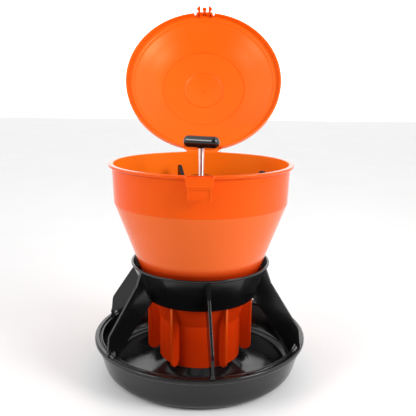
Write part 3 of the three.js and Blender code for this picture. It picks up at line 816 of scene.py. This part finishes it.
def add_hopper_wall(bm):
    wall = rounded(
        [
            (SPOUT_RADIUS - HOPPER_WALL, SPOUT_BOTTOM, 0.9),
            (SPOUT_RADIUS, SPOUT_BOTTOM, 0.9),
            (SPOUT_RADIUS, CONE_BOTTOM, 0.8),
            (SHOULDER_RADIUS, SHOULDER_HEIGHT, 1.2),
            (RIM_RADIUS, HOPPER_TOP - 3),
            (RIM_RADIUS, HOPPER_TOP, 0.8),
            (RIM_RADIUS - 2, HOPPER_TOP, 0.9),
            (SHOULDER_RADIUS - HOPPER_WALL, SHOULDER_HEIGHT + 0.4, 2),
            (SPOUT_RADIUS - HOPPER_WALL, CONE_BOTTOM + 0.5, 2),
        ]
    )
    turn(bm, wall)
    lip = rounded(
        [
            (RIM_RADIUS - 0.8, HOPPER_TOP - 6, 0.8),
            (LIP_RADIUS - 1.2, HOPPER_TOP - 4.2, 1.2),
            (LIP_RADIUS, HOPPER_TOP - 2.8, 0.9),
            (LIP_RADIUS, HOPPER_TOP, 1.5),
            (RIM_RADIUS - 0.8, HOPPER_TOP - 0.05),
        ]
    )
    lip_start = math.degrees(math.asin(LIP_NOTCH / LIP_RADIUS))
    turn(bm, lip, SIDES, lip_start, 360 - 2 * lip_start)


def add_lugs(bm):
    """The lugs that ride up the collar's ramps as the hopper turns."""
    bottom = LUG_BOTTOM + math.radians(-LUG_HALF_ANGLE) * RAMP_RISE
    root = cone_outer(bottom)
    lug = rounded(
        [
            (root - 1, bottom),
            (root + RAMP_REACH, bottom, 0.5),
            (root + RAMP_REACH + 2, bottom + LUG_HEIGHT, 0.6),
            (root + 1, bottom + LUG_HEIGHT),
        ]
    )
    climb = (RAMP_RISE * CONE_SLOPE, RAMP_RISE)
    for angle in spaced(RAMP_COUNT, RAMP_ANGLE):
        turn(bm, lug, 12, angle - LUG_HALF_ANGLE, 2 * LUG_HALF_ANGLE, climb=climb)


def make_hopper():
    bm = bmesh.new()
    add_hopper_wall(bm)
    for angle in spaced(FIN_COUNT, FIN_FIRST_ANGLE):
        plate(bm, fin_outline(), -FIN_THICKNESS / 2, FIN_THICKNESS / 2, flat_on(angle), 1.1, 4)
    add_lugs(bm)
    add_latch_pocket(bm)
    add_latch_panel(bm)
    add_hinge_bracket(bm)
    piece("feed_hopper", bm, orange, "hopper", ["hopper"], painted_light_lining=inside_painted_light_orange)


def make_hinge_pin():
    bm = bmesh.new()
    start, end = -EAR_OUTER - 0.6, EAR_OUTER + 1
    shank = [
        (0, start),
        (PIN_RADIUS - 0.5, start),
        (PIN_RADIUS, start + 0.5),
        (PIN_RADIUS, end),
        (0, end),
    ]
    place = shift(0, HINGE.y, HINGE.z) @ ALONG_X
    turn(bm, shank, SMALL_SIDES, place=place)
    head = [
        (0, EAR_OUTER + GAP),
        (3.6, EAR_OUTER + GAP),
        (3.6, EAR_OUTER + 1),
        (3, EAR_OUTER + 1.6),
        (1.6, EAR_OUTER + 1.9),
        (0, EAR_OUTER + 2),
    ]
    turn(bm, head, SMALL_SIDES, place=place)
    piece("hinge_rod", bm, steel, "hopper", ["hinge_pin"])


# ---------------------------------------------------------------- lid


def dome_underside():
    """The dome's underside from the middle outwards, with two small steps."""
    knots = [
        (0, 336.3),
        (16, 334.4),
        (33.5, 330.6),
        (70.5, 323.8),
        (100, 309.6),
        (LID_DOME_RADIUS, 299),
    ]
    line = smooth_line(knots, 12)
    line[0] = Vector((0, line[0].y))
    stepped = []
    for before, point in zip([None, *line], line):
        for radius in DOME_STEPS:
            if before is not None and before.x < radius <= point.x:
                stepped.append(Vector((radius - 0.5, before.y + 0.1)))
                stepped.append(Vector((radius + 0.3, point.y - 0.3)))
        lift = DOME_STEP_HEIGHT * sum(point.x < radius for radius in DOME_STEPS)
        stepped.append(Vector((point.x, point.y + lift)))
    return stepped


def add_clip(bm):
    front = -LID_RADIUS
    back = front + LID_WALL
    root = LID_SEAT + 1
    tip = LID_SEAT - PRONG_LENGTH
    for side in (-1, 1):
        barb = smooth_line([(7.6, 0), (9.6, 1), (12, 4), (13.1, 7.4), (12.3, 9.8), (10.7, 11.8)], 4)
        prong = [(7.2, PRONG_LENGTH + 1), (7, 1), *barb, (10.7, PRONG_LENGTH + 1)]
        plate(bm, [Vector((side * x, tip + z)) for x, z in prong], front, back, edge=0.5)
    centre = (0, tip + 7.2)
    head = arc(centre, 3.7, -230, 50, 28)
    plate(bm, [*head, Vector((3, root)), Vector((-3, root))], front, back, edge=0.5)
    bridge = rounded(
        [(-14, LID_SEAT - 7.6, 0.6), (14, LID_SEAT - 7.6, 0.6), (14.9, root), (-14.9, root)]
    )
    plate(bm, bridge, front + 0.2, back, edge=0.5)
    for x in (-12.8, -7.9, 7.9, 12.8):
        gusset = rounded(
            [
                (back - 0.6, LID_SEAT - 8),
                (back + 0.2, LID_SEAT - 8, 0.3),
                (-RIM_RADIUS - 1.3, LID_SEAT - 0.4, 0.5),
                (-RIM_RADIUS - 1.3, LID_SEAT + 0.6),
                (back - 0.6, LID_SEAT + 0.6),
            ]
        )
        plate(bm, gusset, -0.6, 0.6, shift(x) @ FACING_SIDE, 0.25, 2)


def add_hinge_tab(bm):
    """The tab behind the lid, with its barrel on the hinge pin."""
    y, z = HINGE.y, HINGE.z
    top = LID_SEAT + LID_WALL
    half = TAB_HALF_WIDTH
    side = [
        (half + 9.5, 121),
        (half + 7.2, 126.2),
        (half + 3.2, 129.4),
        (half + 0.9, 133),
        (half + 0.3, y),
    ]
    flare = smooth_line(side, 5)
    outline = [*flare, *[Vector((-p.x, p.y)) for p in reversed(flare)]]
    plate(bm, outline, LID_SEAT, top, LYING_UP, 0.5)
    bore, outer = PIN_RADIUS + 0.3, 4.7
    barrel = [
        (bore, -half),
        (outer - 0.5, -half),
        (outer, -half + 0.5),
        (outer, half - 0.5),
        (outer - 0.5, half),
        (bore, half),
    ]
    turn(bm, barrel, SMALL_SIDES, place=shift(0, y, z) @ ALONG_X)
    roof = rounded(
        [
            (y - 6, LID_SEAT),
            (y - 6, top, 0.4),
            (y - 0.5, top, 1.5),
            (y + 4.2, z + 2.6, 1),
            (y + 2.6, z + 2.4),
            (y - 3.6, z + 2.6),
        ]
    )
    plate(bm, roof, -half, half, FACING_SIDE, 0.4)
    heel = rounded(
        [
            (y + 3.4, z - 1.5),
            (y + 7.5, z - 1.5, 0.8),
            (y + 7.5, z + 1.5, 0.8),
            (y + 3.4, z + 2.6),
        ]
    )
    plate(bm, heel, -half, half, FACING_SIDE, 0.4)


def make_lid():
    bm = bmesh.new()
    under = dome_underside()
    over = [Vector((p.x, p.y + LID_WALL)) for p in under]
    top = LID_SEAT + LID_WALL
    edge = rounded(
        [
            (LID_DOME_RADIUS + 0.2, LID_SEAT + 2.2, 1),
            (LID_DOME_RADIUS + 3, LID_SEAT, 2.4),
            (LID_RADIUS, LID_SEAT),
            (LID_RADIUS, top, 1.2),
            (LID_DOME_RADIUS + 2.4, top, 1.6),
        ]
    )
    turn(bm, [*under[:-1], *edge, *reversed(over[:-1])])
    skirt = rounded(
        [
            (LID_RADIUS - LID_WALL, LID_SKIRT_BOTTOM, 0.8),
            (LID_RADIUS, LID_SKIRT_BOTTOM, 0.8),
            (LID_RADIUS - 0.02, LID_SEAT + 0.6),
            (LID_RADIUS - LID_WALL - 0.8, LID_SEAT + 0.6),
            (LID_RADIUS - LID_WALL, LID_SEAT - 0.9),
        ]
    )
    latch = math.degrees(math.asin(LATCH_NOTCH / LID_RADIUS))
    hinge = math.degrees(math.asin(HINGE_NOTCH / LID_RADIUS))
    half_way = 180 - latch - hinge
    turn(bm, skirt, SIDES // 2, latch, half_way)
    turn(bm, skirt, SIDES // 2, 180 + hinge, half_way)
    add_clip(bm)
    add_hinge_tab(bm)
    gate = [(0, 336.6), (0, 335.4), (1.1, 335.5), (1.4, 336.0), (1.4, 336.6)]
    turn(bm, gate, 24)
    opened = shift(*HINGE) @ Matrix.Rotation(math.radians(-LID_OPEN_ANGLE), 4, "X") @ shift(*-HINGE)
    bmesh.ops.transform(bm, matrix=opened, verts=bm.verts)
    piece("domed_lid", bm, lid_painted_light_orange, "lid", ["lid"])


# ---------------------------------------------------------------- cross and cap


def make_cross():
    bm = bmesh.new()
    clear = 0.8
    cone_gap = clear + HOPPER_WALL * math.hypot(1, CONE_SLOPE)
    bend = CONE_BOTTOM + (POST_OUTER + cone_gap - SPOUT_RADIUS) / CONE_SLOPE
    arm = rounded(
        [
            (TUBE_RADIUS - 1, 180),
            (cone_inner(165) - clear, 165, 2),
            (POST_OUTER, bend, 6),
            (POST_OUTER, POST_TOP, 2.2),
            (POST_INNER, POST_TOP, 1),
            (72, 261, 6),
            (54, 236, 14),
            (TUBE_RADIUS - 1, 230),
        ],
        6,
    )
    for angle in spaced(CROSS_ARMS, CROSS_FIRST_ANGLE):
        plate(bm, arm, -ARM_THICKNESS / 2, ARM_THICKNESS / 2, flat_on(angle), 0.9)
    keyway_radius, keyway_top = KEY_RADIUS + 0.4, SPIGOT_TOP + 12
    tube_wall = rounded(
        [
            (keyway_radius, TUBE_BOTTOM, 0.3),
            (TUBE_RADIUS, TUBE_BOTTOM, 0.4),
            (TUBE_RADIUS, TUBE_TOP, 0.5),
            (TUBE_BORE, TUBE_TOP, 0.5),
            (TUBE_BORE, keyway_top),
            (keyway_radius, keyway_top),
        ]
    )
    turn(bm, tube_wall, 64)
    liner = rounded(
        [
            (TUBE_BORE, TUBE_BOTTOM, 0.4),
            (keyway_radius + 0.2, TUBE_BOTTOM + 0.2),
            (keyway_radius + 0.2, keyway_top + 0.2),
            (TUBE_BORE, keyway_top + 0.2),
        ]
    )
    half_keyway = math.degrees(math.asin((KEY_WIDTH / 2 + GAP) / TUBE_BORE))
    for angle in KEY_ANGLES:
        turn(bm, liner, 32, angle + half_keyway, 180 - 2 * half_keyway)
    piece("inner_cross", bm, cross_black, "cross", ["hold_down_cross"])


def make_cap():
    bm = bmesh.new()
    bore = ROD_RADIUS + 0.4
    plug = TUBE_BORE - GAP - 0.1
    cap = rounded(
        [
            (bore, TUBE_TOP - 14, 0.4),
            (plug, TUBE_TOP - 14, 0.4),
            (plug, TUBE_TOP + GAP),
            (CAP_RADIUS, TUBE_TOP + GAP, 0.5),
            (CAP_RADIUS, CAP_TOP, 1.6),
            (bore, CAP_TOP, 0.6),
        ]
    )
    turn(bm, cap, 64)
    piece("cross_cap", bm, cross_black, "cross", ["tube_cap"])


# ---------------------------------------------------------------- clamp rod and its small pieces

TURNED = Matrix.Rotation(math.radians(HANDLE_TURN), 4, "Z")


def pin_outline(start, end, radius):
    return [
        (0, start),
        (radius - 0.3, start),
        (radius, start + 0.3),
        (radius, end - 0.3),
        (radius - 0.3, end),
        (0, end),
    ]


def make_rod():
    bm = bmesh.new()
    low, high = span("lock_rod")
    turn(bm, pin_outline(low.z, high.z, ROD_RADIUS), 64)
    piece("clamp_rod", bm, chrome, "rod", ["lock_rod"])


def make_handle():
    bm = bmesh.new()
    end, side = HANDLE_LENGTH / 2, HANDLE_DEPTH / 2
    plan = rectangle(-end, -side, end, side, 8, 8)
    plate(bm, plan, HANDLE_BOTTOM, HANDLE_TOP, TURNED @ LYING_UP, 7.2, 10)
    bore = ROD_RADIUS + 0.2
    boss = rounded(
        [
            (bore, HANDLE_BOTTOM - 0.4, 0.3),
            (6.6, HANDLE_BOTTOM - 0.4, 0.5),
            (7, HANDLE_BOTTOM + 2),
            (bore, HANDLE_BOTTOM + 2),
        ]
    )
    turn(bm, boss, SMALL_SIDES)
    piece("t_grip", bm, grip_black, "rod", ["t_handle"])


def make_pins():
    """The three pins through the rod, across the T-handle. Their CAD boxes give their sizes."""
    turned = math.radians(HANDLE_TURN)
    along_pin = Matrix.Rotation(turned + math.pi / 2, 4, "Z") @ ALONG_X
    for name, node in (
        ("grip_pin", "handle_pin"),
        ("washer_stop_pin", "washer_pin"),
        ("toggle_cross_pin", "toggle_pin"),
    ):
        low, high = span(node)
        radius = (high.z - low.z) / 2
        half = high.y / math.cos(turned) - radius * abs(math.tan(turned))
        place = shift(0, 0, (low.z + high.z) / 2) @ along_pin
        bm = bmesh.new()
        turn(bm, pin_outline(-half, half, radius), 32, place=place)
        piece(name, bm, steel, "rod", [node])


def make_toggle():
    bm = bmesh.new()
    half = TOGGLE_LENGTH / 2
    bar = rectangle(-half, TOGGLE_BOTTOM, half, TOGGLE_TOP, 1.6)
    plate(bm, bar, -TOGGLE_WIDTH / 2, TOGGLE_WIDTH / 2, TURNED, 1)
    piece("toggle_foot", bm, steel, "rod", ["toggle_bar"])


def make_washer():
    bm = bmesh.new()
    inner, outer = ROD_RADIUS + 0.4, TUBE_BORE - 0.7
    turn(bm, rectangle(inner, WASHER_BOTTOM, outer, WASHER_TOP, 0.3), 64)
    piece("stop_washer", bm, steel, "washer", ["spring_washer"])


def spring_path(bottom, top):
    """The middle of the wire. The first and last turns climb slowly, as closed ends do."""
    path = []
    steps = 36 * SPRING_TURNS
    for k in range(steps + 1):
        turns = SPRING_TURNS * k / steps
        along = min(max((turns - CLOSED_TURNS) / (SPRING_TURNS - 2 * CLOSED_TURNS), 0), 1)
        height = bottom + (top - bottom) * along
        height += 0.4 * min(turns, CLOSED_TURNS) - 0.4 * min(SPRING_TURNS - turns, CLOSED_TURNS)
        angle = 2 * math.pi * turns
        across, deep = SPRING_RADIUS * math.cos(angle), SPRING_RADIUS * math.sin(angle)
        path.append(Vector((across, deep, height)))
    return path


def make_spring():
    low, high = span("lock_spring")
    bm = bmesh.new()
    tube(bm, spring_path(low.z + SPRING_WIRE, high.z - SPRING_WIRE), SPRING_WIRE)
    made = piece("clamp_spring", bm, steel, "frame", ["lock_spring"])
    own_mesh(made)


make_tray()
make_collar()
make_dividers()
make_hopper()
make_hinge_pin()
make_lid()
make_cross()
make_cap()
make_rod()
make_handle()
make_pins()
make_toggle()
make_washer()
make_spring()

# ---------------------------------------------------------------- floor, light and camera


FLOOR_SIZE = 12
FLOOR_DROP = 0.0002  # how far the floor lies under the object, so that their faces don't flicker
WORLD_BRIGHTEST = 1.9
WORLD_STOPS = (  # (y of the direction, brightness)
    (-0.96, 0.06),
    (-0.55, 0.3),
    (-0.2, 1),
    (0.2, 0.9),
    (0.66, 0.36),
    (0.9, 1),
)
CEILING_START, CEILING_END = 0.75, 0.97  # z of the directions between which the top turns darker
CEILING_LEVEL = 0.35
LIGHT_TARGET = Vector((0, 0.05, 0.25))
SOFTBOXES = (  # name, azimuth, elevation, distance, width, height, power
    ("right softbox", 56, 25, 1.5, 0.6, 0.55, 15),
    ("left softbox", -56, 26, 1.5, 0.6, 0.5, 7.5),
)
CAMERA_PLACE = (0.010, -0.7774, 0.400)
CAMERA_TILT = 12.18  # degrees below the horizon
CAMERA_ROLL = 0.67
CAMERA_LENS = 49.47
CAMERA_SENSOR = 36


def make_floor():
    n = Nodes("pale floor")
    tone = n.mix(n.noise(3, 2), (0.78, 0.78, 0.78), (0.82, 0.82, 0.82))
    rough = n.between(n.noise(9, 2), 0.5, 0.6)
    normal = n.bump(n.noise(300, 2), 0.05, 0.0002)
    material = n.finish(tone, rough, normal)
    mesh = bpy.data.meshes.new("studio_floor")
    half = FLOOR_SIZE / 2
    corners = [(-half, -half, 0), (half, -half, 0), (half, half, 0), (-half, half, 0)]
    mesh.from_pydata(corners, [], [(0, 1, 2, 3)])
    mesh.materials.append(material)
    floor = bpy.data.objects.new("studio_floor", mesh)
    floor.location.z = -FLOOR_DROP
    bpy.context.scene.collection.objects.link(floor)


def make_surroundings():
    """Bright all round, and darker in front, where a studio's camera stands."""
    world = bpy.data.worlds.new("studio")
    bpy.context.scene.world = world
    world.use_nodes = True
    tree = world.node_tree
    background = tree.nodes["Background"]
    place = tree.nodes.new("ShaderNodeTexCoord")
    split = tree.nodes.new("ShaderNodeSeparateXYZ")
    tree.links.new(place.outputs["Generated"], split.inputs["Vector"])
    across = tree.nodes.new("ShaderNodeMapRange")
    across.inputs["From Min"].default_value = -1
    across.inputs["From Max"].default_value = 1
    tree.links.new(split.outputs["Y"], across.inputs["Value"])
    ramp = tree.nodes.new("ShaderNodeValToRGB")
    ramp.color_ramp.interpolation = "EASE"
    stops = ramp.color_ramp.elements
    while len(stops) < len(WORLD_STOPS):
        stops.new(0.5)
    for stop, (place_y, level) in zip(stops, WORLD_STOPS):
        stop.position = (place_y + 1) / 2
        stop.color = (level, level, level, 1)
    tree.links.new(across.outputs["Result"], ramp.inputs["Fac"])
    ceiling = tree.nodes.new("ShaderNodeMapRange")
    ceiling.interpolation_type = "SMOOTHSTEP"
    ceiling.inputs["From Min"].default_value = CEILING_START
    ceiling.inputs["From Max"].default_value = CEILING_END
    ceiling.inputs["To Min"].default_value = WORLD_BRIGHTEST
    ceiling.inputs["To Max"].default_value = CEILING_LEVEL * WORLD_BRIGHTEST
    tree.links.new(split.outputs["Z"], ceiling.inputs["Value"])
    tree.links.new(ramp.outputs["Color"], background.inputs["Color"])
    tree.links.new(ceiling.outputs["Result"], background.inputs["Strength"])


def softbox(name, azimuth, elevation, distance, width, height, power):
    """An area light that faces the feeder from a direction: azimuth 0 is the front, 90 is +X."""
    a, e = math.radians(azimuth), math.radians(elevation)
    back = Vector((math.sin(a) * math.cos(e), -math.cos(a) * math.cos(e), math.sin(e)))
    light = bpy.data.lights.new(name, "AREA")
    light.shape = "RECTANGLE"
    light.size, light.size_y = width, height
    light.energy = power
    made = bpy.data.objects.new(name, light)
    made.location = LIGHT_TARGET + back * distance
    made.rotation_mode = "QUATERNION"
    made.rotation_quaternion = back.to_track_quat("Z", "Y")
    made.visible_camera = False
    bpy.context.scene.collection.objects.link(made)


def make_camera():
    camera = bpy.data.cameras.new("camera")
    camera.lens = CAMERA_LENS
    camera.sensor_width = CAMERA_SENSOR
    made = bpy.data.objects.new("camera", camera)
    tilt = Matrix.Rotation(math.radians(90 - CAMERA_TILT), 4, "X")
    roll = Matrix.Rotation(math.radians(CAMERA_ROLL), 4, "Z")
    made.matrix_world = shift(*CAMERA_PLACE) @ tilt @ roll
    bpy.context.scene.collection.objects.link(made)
    bpy.context.scene.camera = made


make_floor()
make_surroundings()
for values in SOFTBOXES:
    softbox(*values)
make_camera()
bpy.context.scene.view_settings.view_transform = "Standard"
